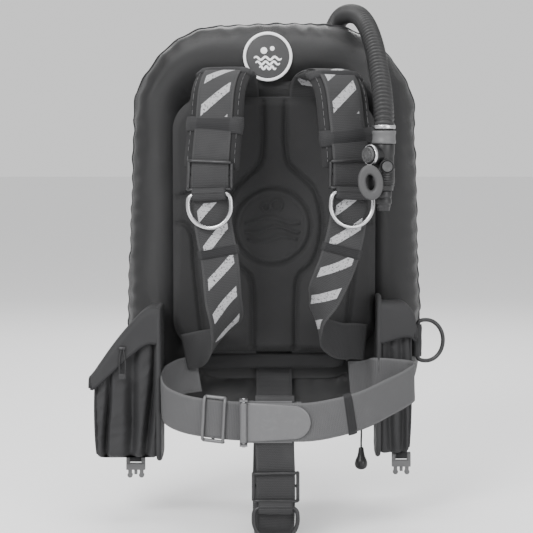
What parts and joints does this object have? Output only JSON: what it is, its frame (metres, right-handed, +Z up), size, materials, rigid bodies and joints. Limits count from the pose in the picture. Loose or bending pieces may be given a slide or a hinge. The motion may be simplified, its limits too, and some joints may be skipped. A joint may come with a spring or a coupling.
{
  "type": "buoyancy compensator vest",
  "caption": "Diving buoyancy vest: a ring-shaped air cell behind a plate, with a webbing harness, pockets, lever buckle and an inflator hose.",
  "frame": {"origin": "centre of the tank pad's rear face, where the cylinder rests", "axes": "+Y out of the tank pad towards the cylinder, -Y towards the wearer, +X to the wearer's left, +Z up"},
  "size_m": [0.4803, 0.4216, 0.7093],
  "materials": {
    "wing_fabric": "glossy heavy woven nylon",
    "bladder": "smooth",
    "foam_pad": "matt moulded foam with a knitted face",
    "webbing_grey": "matt woven webbing",
    "webbing_black": "matt woven webbing",
    "hose_rubber": "satin ribbed rubber",
    "black_plastic": "fine-grained",
    "grey_plastic": "satin",
    "steel": "polished wire",
    "black_steel": "satin black coating",
    "buckle_steel": "bead-blasted grey",
    "badge": "grey badge with a white rim"
  },
  "bodies": {
    "harness": {"back_pad": "foam_pad", "backplate": "black_steel", "belt_keeper": "webbing_black", "belt_slider": "black_steel", "buckle_frame": "buckle_steel", "buckle_pin": "steel", "corrugated_hose": "hose_rubber", "crotch_slider": "black_steel", "crotch_strap": "webbing_grey", "dump_valve": "black_plastic", "hose_collar": "grey_plastic", "hose_coupling": "steel", "inflator_body": "black_plastic", "inflator_elbow": "black_plastic", "left_lower_keeper": "webbing_black", "left_middle_keeper": "webbing_black", "left_pocket": "wing_fabric", "left_shoulder_pad": "foam_pad", "left_shoulder_webbing": "webbing_grey", "left_slider": "black_steel", "left_upper_keeper": "webbing_black", "left_waist_belt": "webbing_grey", "lower_band_buckle": "black_plastic", "lower_tank_band": "webbing_black", "lumbar_pad": "foam_pad", "mouthpiece": "hose_rubber", "right_lower_keeper": "webbing_black", "right_middle_keeper": "webbing_black", "right_pocket": "wing_fabric", "right_shoulder_pad": "foam_pad", "right_shoulder_webbing": "webbing_grey", "right_slider": "black_steel", "right_upper_keeper": "webbing_black", "right_waist_belt": "webbing_grey", "tank_pad": "hose_rubber", "upper_band_buckle": "black_plastic", "upper_tank_band": "webbing_black", "wing_bladder": "bladder", "wing_centre_panel": "wing_fabric", "wing_front_shell": "wing_fabric", "wing_patch": "badge", "wing_rear_shell": "wing_fabric"},
    "buckle_lever": {"buckle_lever": "buckle_steel"},
    "upper_band_lever": {"upper_band_lever": "grey_plastic"},
    "lower_band_lever": {"lower_band_lever": "grey_plastic"},
    "left_ring": {"left_d_ring": "steel"},
    "right_ring": {"right_d_ring": "steel"},
    "crotch_ring": {"crotch_d_ring": "black_steel"},
    "hip_ring": {"hip_d_ring": "black_steel"},
    "inflate_button": {"inflate_button": "grey_plastic"},
    "exhaust_button": {"exhaust_button": "grey_plastic"},
    "dump_pull": {"dump_cord": "webbing_black", "dump_toggle": "hose_rubber"},
    "left_flap": {"left_pocket_flap": "wing_fabric"},
    "right_flap": {"right_pocket_flap": "wing_fabric"},
    "left_hanger": {"left_pocket_buckle": "grey_plastic"},
    "right_hanger": {"right_pocket_buckle": "grey_plastic"},
    "zip_pull": {"zip_pull": "webbing_black"}
  },
  "joints": [
    {"name": "buckle_lever_hinge", "type": "hinge", "parent": "harness", "child": "buckle_lever", "pos_m": [-0.04, -0.21585, -0.235], "axis": [0, 0, -1], "range_deg": [0, 105]},
    {"name": "upper_band_lever_hinge", "type": "hinge", "parent": "harness", "child": "upper_band_lever", "pos_m": [0.03853, 0.19613, 0.095], "axis": [0, 0, 1], "range_deg": [0, 100]},
    {"name": "lower_band_lever_hinge", "type": "hinge", "parent": "harness", "child": "lower_band_lever", "pos_m": [0.03853, 0.19613, -0.095], "axis": [0, 0, 1], "range_deg": [0, 100]},
    {"name": "left_ring_hinge", "type": "hinge", "parent": "harness", "child": "left_ring", "pos_m": [-0.08579, -0.14801, 0.05475], "axis": [-0.9941, 0.0998, -0.0434], "range_deg": [-3, 100]},
    {"name": "right_ring_hinge", "type": "hinge", "parent": "harness", "child": "right_ring", "pos_m": [0.10167, -0.14592, 0.05613], "axis": [-0.9787, -0.1999, 0.0466], "range_deg": [-3, 45]},
    {"name": "crotch_ring_hinge", "type": "hinge", "parent": "harness", "child": "crotch_ring", "pos_m": [0.00101, -0.21506, -0.34523], "axis": [-1, 0, 0], "range_deg": [-3, 100]},
    {"name": "hip_ring_hinge", "type": "hinge", "parent": "harness", "child": "hip_ring", "pos_m": [0.1966, -0.0499, -0.149], "axis": [0, 0, 1], "range_deg": [-70, 70]},
    {"name": "inflate_button_press", "type": "slide", "parent": "harness", "child": "inflate_button", "axis": [0, 1, 0], "range_m": [0, 0.0025], "stiffness_N_per_m": 400},
    {"name": "exhaust_button_press", "type": "slide", "parent": "harness", "child": "exhaust_button", "axis": [0.8, 0.6, 0], "range_m": [0, 0.003], "stiffness_N_per_m": 400},
    {"name": "dump_pull_slide", "type": "slide", "parent": "harness", "child": "dump_pull", "axis": [0, 0, -1], "range_m": [0, 0.012], "stiffness_N_per_m": 300},
    {"name": "left_flap_hinge", "type": "hinge", "parent": "harness", "child": "left_flap", "pos_m": [-0.1993, -0.04, -0.1415], "axis": [-0.836, 0, -0.5488], "range_deg": [0, 90]},
    {"name": "right_flap_hinge", "type": "hinge", "parent": "harness", "child": "right_flap", "pos_m": [0.1652, -0.027, -0.0995], "axis": [-1, 0, 0], "range_deg": [0, 90]},
    {"name": "left_hanger_hinge", "type": "hinge", "parent": "harness", "child": "left_hanger", "pos_m": [-0.19, -0.072, -0.3083], "axis": [1, 0, 0], "range_deg": [-60, 60]},
    {"name": "right_hanger_hinge", "type": "hinge", "parent": "harness", "child": "right_hanger", "pos_m": [0.176, -0.0499, -0.3083], "axis": [1, 0, 0], "range_deg": [-60, 60]},
    {"name": "zip_pull_hinge", "type": "hinge", "parent": "left_flap", "child": "zip_pull", "pos_m": [-0.204, -0.1114, -0.1525], "axis": [-1, 0, 0], "range_deg": [0, 80]}
  ]
}
